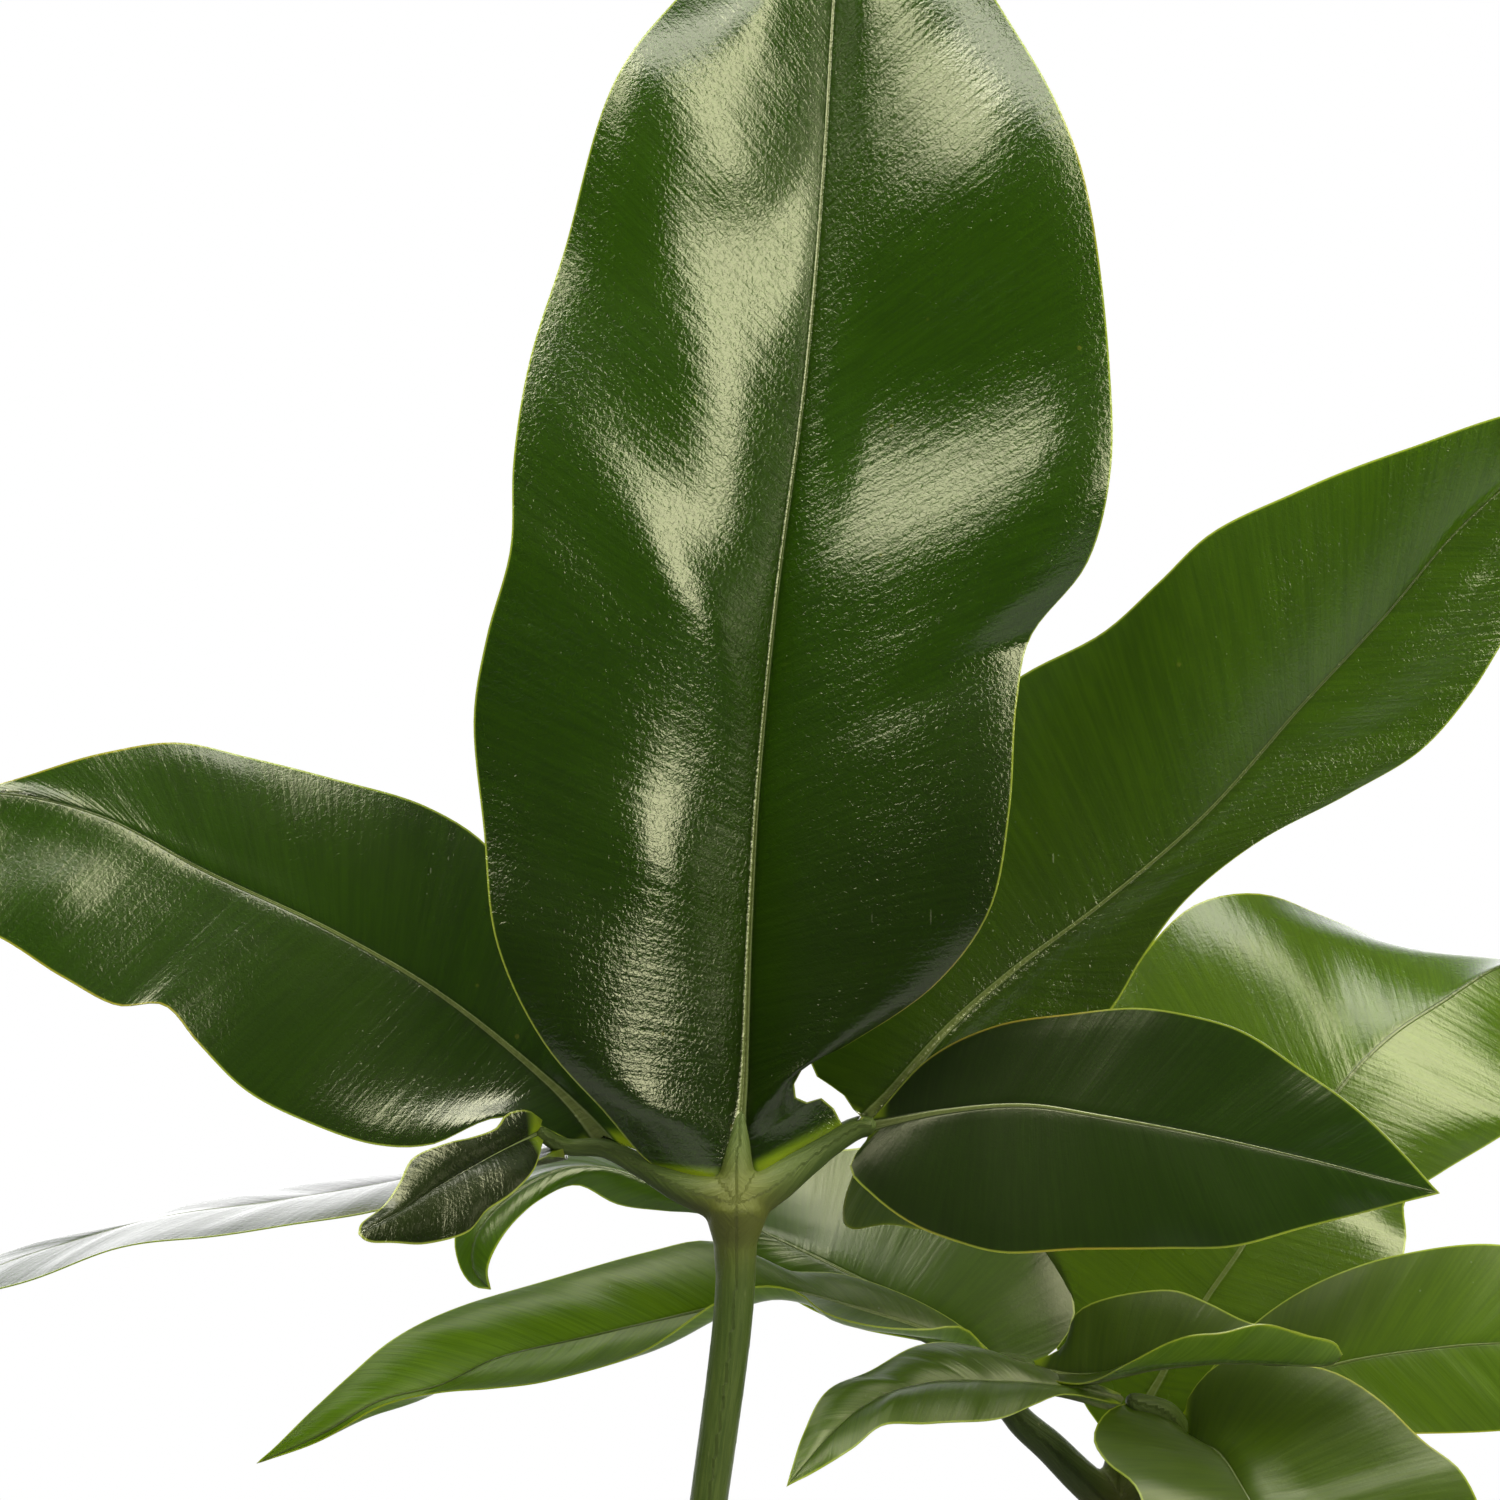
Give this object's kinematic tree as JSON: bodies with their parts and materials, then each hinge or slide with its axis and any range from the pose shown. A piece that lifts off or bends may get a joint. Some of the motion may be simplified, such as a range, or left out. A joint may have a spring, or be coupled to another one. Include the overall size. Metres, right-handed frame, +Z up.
{
  "type": "potted philodendron",
  "caption": "Split-leaf philodendron with glossy compound leaves on long stalks, growing from a short stem in a round plastic nursery pot of potting mix.",
  "frame": {"origin": "middle of the pot's underside, on the surface that the pot stands on", "axes": "+Z up, -Y towards the front of the plant, +X to its right as seen from the front"},
  "size_m": [0.5172, 0.4713, 0.7419],
  "materials": {
    "pot": "satin",
    "potting_mix": "matte",
    "stem": "matte",
    "leaf": "gloss",
    "young_leaf": "satin"
  },
  "bodies": {
    "root": {"pot": "pot", "potting_mix": "potting_mix", "stem": "stem", "leaf_a": "leaf", "leaf_b": "leaf", "leaf_c": "leaf", "leaf_d": "leaf", "leaf_e": "leaf", "leaf_f": "leaf", "leaf_g": "leaf", "rolled_leaf": "young_leaf"}
  },
  "joints": []
}
